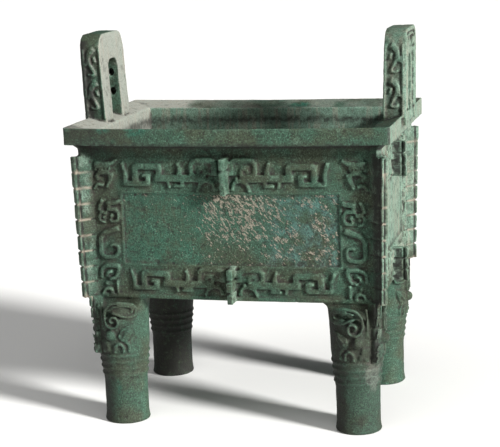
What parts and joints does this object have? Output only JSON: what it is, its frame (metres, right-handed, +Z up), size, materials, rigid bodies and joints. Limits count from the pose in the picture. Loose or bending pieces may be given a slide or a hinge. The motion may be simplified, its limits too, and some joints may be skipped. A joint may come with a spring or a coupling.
{
  "type": "bronze ding vessel",
  "caption": "Box-shaped ancient bronze ding: a hollow rimmed vessel with upright loop ears, notched flanges and carved dragon bands, standing on round legs with animal masks.",
  "frame": {"origin": "on the ground under the middle of the belly", "axes": "+Z up; X along the long walls, with the ears at -X and +X; the long front wall faces -Y"},
  "size_m": [1.142, 0.78, 1.33],
  "materials": {
    "bronze_patina": "old cast bronze under a dull malachite green patina with brown-black hollows and crust"
  },
  "bodies": {
    "root": {"ding_vessel": "bronze_patina"}
  },
  "joints": []
}
